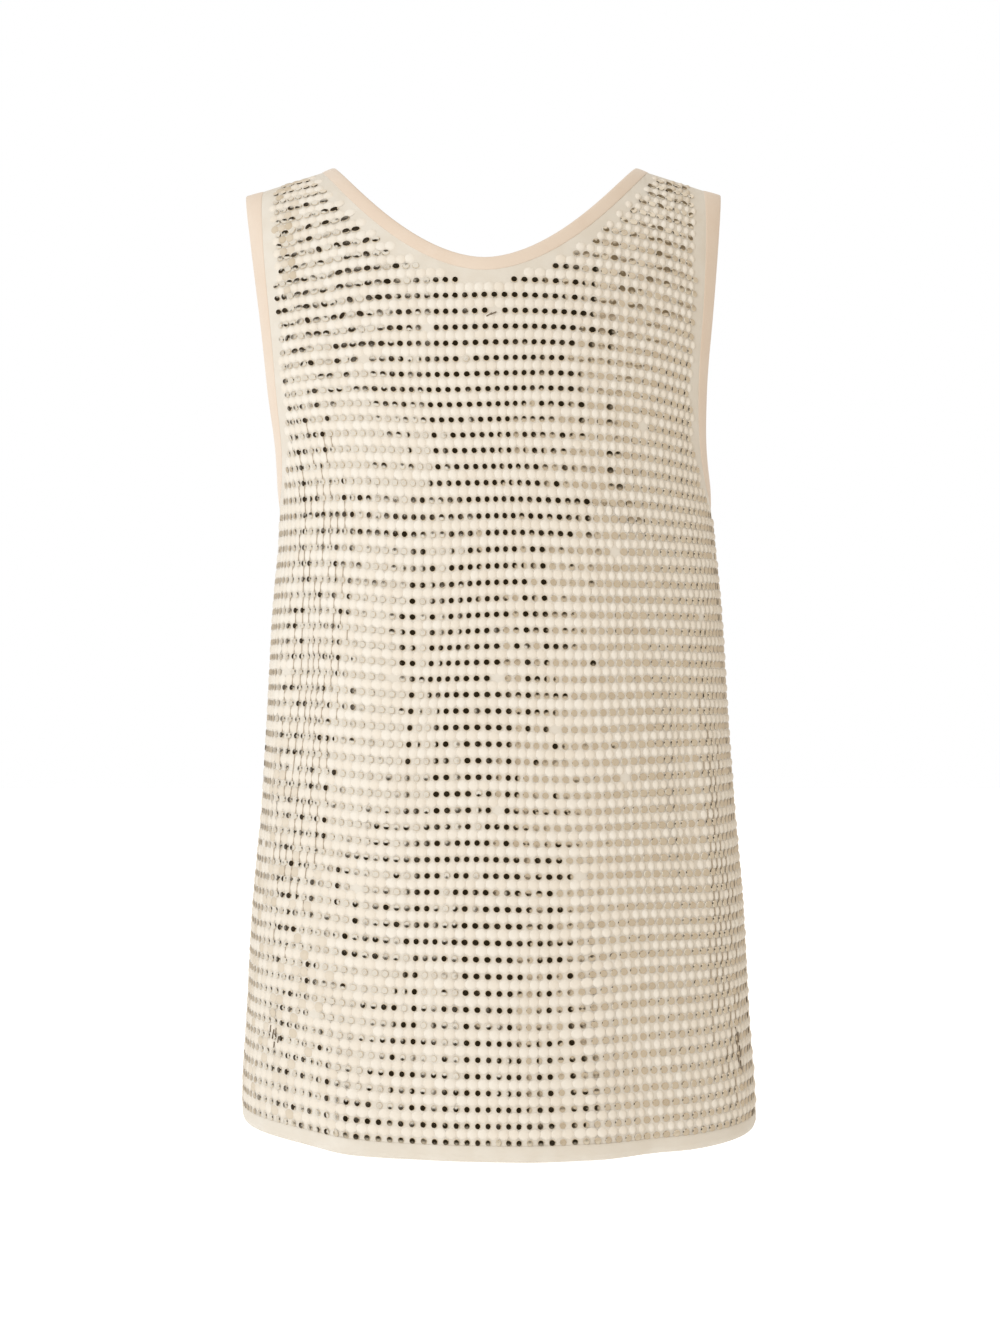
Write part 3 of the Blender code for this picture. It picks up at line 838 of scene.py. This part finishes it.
# Hem: the plain lower edge of each face, of the same cream cloth, is turned up by a centimetre
# to the inside and sewn down. It is the same cut piece as the face above it.
HEM_TURNING = 0.0100
HEM_THICKNESS = 0.0004
HEM_POINTS = 101            # from one side seam to the other
HEM_PROFILE = np.array((    # height above the lower edge, depth below the outer face
    (HEM_TURNING, 0.0010), (HEM_TURNING - 0.0004, 0.0007), (HEM_TURNING - 0.0020, 0.0004),
    (0.0040, -0.0002), (0.0012, -0.0001), (0.0003, 0.0004), (0.0, 0.0011), (0.0003, 0.0018),
    (0.0012, 0.0022), (0.0040, 0.0023), (HEM_TURNING - 0.0006, 0.0022), (HEM_TURNING, 0.0019)))
hem_turns = np.linspace(-SIDE_TURN, SIDE_TURN, HEM_POINTS)
for face in (BACK, FRONT):
    hem = map_grid(len(hem_turns) - 1, len(HEM_PROFILE) - 1, lambda column, row: cloth_point(
        face, hem_turns[column], HEM_PROFILE[row, 0] / (LENGTH - CHEST_DROP), HEM_PROFILE[row, 1]))
    if face is BACK:
        bmesh.ops.reverse_faces(hem, faces=hem.faces)
    lay_flat(hem)
    piece = cloth_piece(hem, face.name + "_hem", cloth_finish, HEM_THICKNESS)

# Bindings: three strips of plain matt peach cloth, cut on the bias. One is folded over the raw
# edge of the neck and one over that of each armhole, all the way round, and sewn down.
BINDING_THICKNESS = 0.0005
BINDING_LIGHT = (0.715, 0.605, 0.505, 1.0)
BINDING_SHADE = (0.690, 0.570, 0.465, 1.0)
binding_finish, nodes, shader = new_finish("peach_binding", Roughness=0.85, Sheen_Weight=0.3)
place = nodes.add("ShaderNodeTexCoord", output="Object")
cloud = nodes.add("ShaderNodeTexNoise", (), {"Vector": place, "Scale": 26.0, "Detail": 5.0})
grain = nodes.add("ShaderNodeTexNoise", (), {"Vector": place, "Scale": 900.0, "Detail": 2.0})
nodes.feed(shader.inputs["Base Color"], nodes.mix(nodes.band(cloud + grain * 0.3, 0.45, 0.8),
                                                  BINDING_SHADE, BINDING_LIGHT))
nodes.feed(shader.inputs["Normal"], nodes.add(
    "ShaderNodeBump", (), {"Strength": 0.3, "Distance": 0.0002, "Height": grain}))


def binding(name, lines, width):
    """A strip folded over a closed edge. Lines has the edge and its inset, on the back and front."""
    stations = []
    for face, edge, inner in lines:
        run = list(zip(*edge, *inner))
        stations += [(face.sign, *place) for place in (run if face is BACK else run[::-1])[:-1]]
    stations = np.array(stations + stations[:1])
    profile = np.array((    # distance from the edge, depth below the outer face
        (width, 0.0010), (width - 0.0004, 0.0008), (width - 0.0014, 0.0006), (width * 0.5, 0.0003),
        (0.0014, 0.0002), (0.0003, 0.0005), (-0.0001, 0.0012), (0.0003, 0.0020),
        (0.0014, 0.0026), (width * 0.5, 0.0028), (width - 0.0010, 0.0025), (width, 0.0020)))

    def place_binding(column, row):
        sign, edge_turn, edge_rise, inner_turn, inner_rise = stations[column].T
        share = profile[row, 0] / width
        turn = edge_turn + (inner_turn - edge_turn) * share
        rise = edge_rise + (inner_rise - edge_rise) * share
        points = np.zeros((len(column), 3))
        for face in (BACK, FRONT):
            mine = sign == face.sign
            points[mine] = cloth_point(face, turn[mine], rise[mine], profile[row[mine], 1])
        return points

    strip = map_grid(len(stations) - 1, len(profile) - 1, place_binding)
    bmesh.ops.remove_doubles(strip, verts=strip.verts, dist=1e-6)
    bmesh.ops.recalc_face_normals(strip, faces=strip.faces)
    piece = cloth_piece(strip, name, binding_finish, BINDING_THICKNESS)
    return piece


neck_lines = [(face, neck_edge(face), neck_inset(face, NECK_BINDING)) for face in (BACK, FRONT)]
neck = binding("neck_strip", neck_lines, NECK_BINDING)
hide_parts("neck_binding")
for side, hand in (("left", -1), ("right", 1)):
    arm_lines = [(face, arm_edge(face, hand), arm_inset(face, hand, ARM_BINDING))
                 for face in (BACK, FRONT)]
    arm = binding("armhole_strip_" + side, arm_lines, ARM_BINDING)
    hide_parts("armhole_binding_" + side)

# Studio: the top hangs in the white light of a photographer's room, brightest on its left, with
# the camera level with its waist. The discs mirror that room's dark, bright and striped parts.
FLOOR_SIZE = 24.0
FLOOR_GREY = (0.92, 0.92, 0.92, 1.0)
bpy.ops.mesh.primitive_plane_add(size=1.0)
floor = bpy.context.object
floor.name = "floor"
floor.scale = (FLOOR_SIZE, FLOOR_SIZE, 1.0)
floor.location = (0.0, 11.1, -1.6)
floor_finish, nodes, shader = new_finish("pale_floor", Roughness=0.9, Base_Color=FLOOR_GREY,
                                         Emission_Strength=0.5, Emission_Color=(1.0, 1.0, 1.0, 1.0))
floor.data.materials.append(floor_finish)
floor.visible_glossy = False

WHITE = (1.0, 1.0, 1.0, 1.0)
ROOM_LOW = (0.66, 0.60, 0.52, 1.0)
ROOM_HIGH = (0.95, 0.92, 0.88, 1.0)
ROOM_MARKS = (0.20, 0.16, 0.11, 1.0)
WINDOW = (0.93, 0.95, 0.98, 1.0)
WINDOW_BARS = (0.045, 0.035, 0.025, 1.0)
BY_CAMERA = (0.025, 0.020, 0.012, 1.0)
BEHIND = (0.05, 0.04, 0.03, 1.0)
ROOM_FLOOR = (0.82, 0.79, 0.73, 1.0)
SOFT_LEFT = (1.00, 1.00, 0.98, 1.0)
SOFT_RIGHT = (0.65, 0.570, 0.460, 1.0)
SOFT_BEHIND = (0.98, 0.95, 0.90, 1.0)
world = bpy.data.worlds.new("studio")
bpy.context.scene.world = world
world.use_nodes = True
sky = Nodes(world.node_tree)
background = world.node_tree.nodes["Background"]
direction = sky.add("ShaderNodeTexCoord", output="Generated")
east = sky.part(direction, "X")
north = sky.part(direction, "Y")

# Degrees above the horizon, and degrees round from the camera's side, positive to the right.
height = sky.part(direction, "Z").math("ARCSINE") * (180 / math.pi)
around = east.math("ARCTAN2", north * -1.0) * (180 / math.pi)
right_of_dark = sky.band(around, 17.0, 22.0)
not_left = sky.band(around, -21.0, -17.0)
front_left = sky.band(around, -110.0, -100.0)
below_camera = 1 - sky.band(height, -4.5, -3.0)
card = sky.band(around, 10.0, 13.0) * sky.band(height, -2.5, -0.5) * (1 - sky.band(height, 9.0, 12.0))
dark_camera = (not_left * (1 - sky.band(around, 31.0, 35.0)) * (1 - sky.band(height, 44.0, 60.0))
               * (1 - card) * (1 - right_of_dark * below_camera))
dark_low = sky.band(around, -70.0, -60.0) * (1 - right_of_dark) * below_camera
dark_behind = sky.band(around.math("ABSOLUTE"), 164.0, 170.0) * (1 - sky.band(height, 30.0, 45.0))
bright_left = (1 - not_left) * sky.band(around, -130.0, -120.0)
upright = (sky.band((around * 0.30).math("SINE"), -0.05, 0.25) * (1 - sky.band(around, -68.0, -62.0))
           * front_left)
level = (sky.band(((height - 11.0) * 0.35).math("SINE"), -0.05, 0.20) * sky.band(height, 10.0, 13.0)
         * front_left)
stripes = (upright * (1 - sky.band(height, 9.0, 13.0)) + level).math("MINIMUM", 1.0)
marks = sky.band(((height - 15.0) * 0.45).math("SINE"), 0.20, 0.50) * sky.band(height, 17.0, 21.0)
room = sky.mix(sky.band(height, 20.0, 70.0), ROOM_LOW, ROOM_HIGH)
room = sky.mix(marks * sky.band(around, 30.0, 36.0), room, ROOM_MARKS)
room = sky.mix(bright_left, room, sky.mix(stripes, WINDOW, WINDOW_BARS))
room = sky.mix((dark_camera + dark_low).math("MINIMUM", 1.0), room, BY_CAMERA)
room = sky.mix(dark_behind, room, BEHIND)
room = sky.mix(sky.band(height, -14.0, -22.0), room, ROOM_FLOOR)
soft = sky.mix(sky.band(east, -0.9, 0.9), SOFT_LEFT, SOFT_RIGHT)
soft = sky.mix(sky.band(north, 0.1, 0.9), soft, SOFT_BEHIND)
glossy = sky.add("ShaderNodeLightPath", output="Is Glossy Ray")
seen = sky.add("ShaderNodeLightPath", output="Is Camera Ray")
light = sky.mix(seen, sky.mix(glossy, soft, room), WHITE)
sky.feed(background.inputs["Color"], light)

AIMED_AT = Vector((0.0, 0.0, -0.3))
lamp = bpy.data.lights.new("key", "AREA")
lamp.size = 0.6
lamp.energy = 22.0
lit = bpy.data.objects.new("key", lamp)
bpy.context.scene.collection.objects.link(lit)
lit.location = (-0.75, -2.4, 0.20)
lit.rotation_euler = (AIMED_AT - lit.location).to_track_quat("-Z", "Y").to_euler()
lit.visible_glossy = False

camera = bpy.data.objects.new("camera", bpy.data.cameras.new("camera"))
bpy.context.scene.collection.objects.link(camera)
camera.location = (0.0109, -1.5, -0.3102)
camera.rotation_euler = (math.pi / 2, 0.0, 0.0)
camera.data.lens = 62.95
camera.data.sensor_width = 36.0
bpy.context.scene.camera = camera
bpy.context.scene.view_settings.view_transform = "Standard"
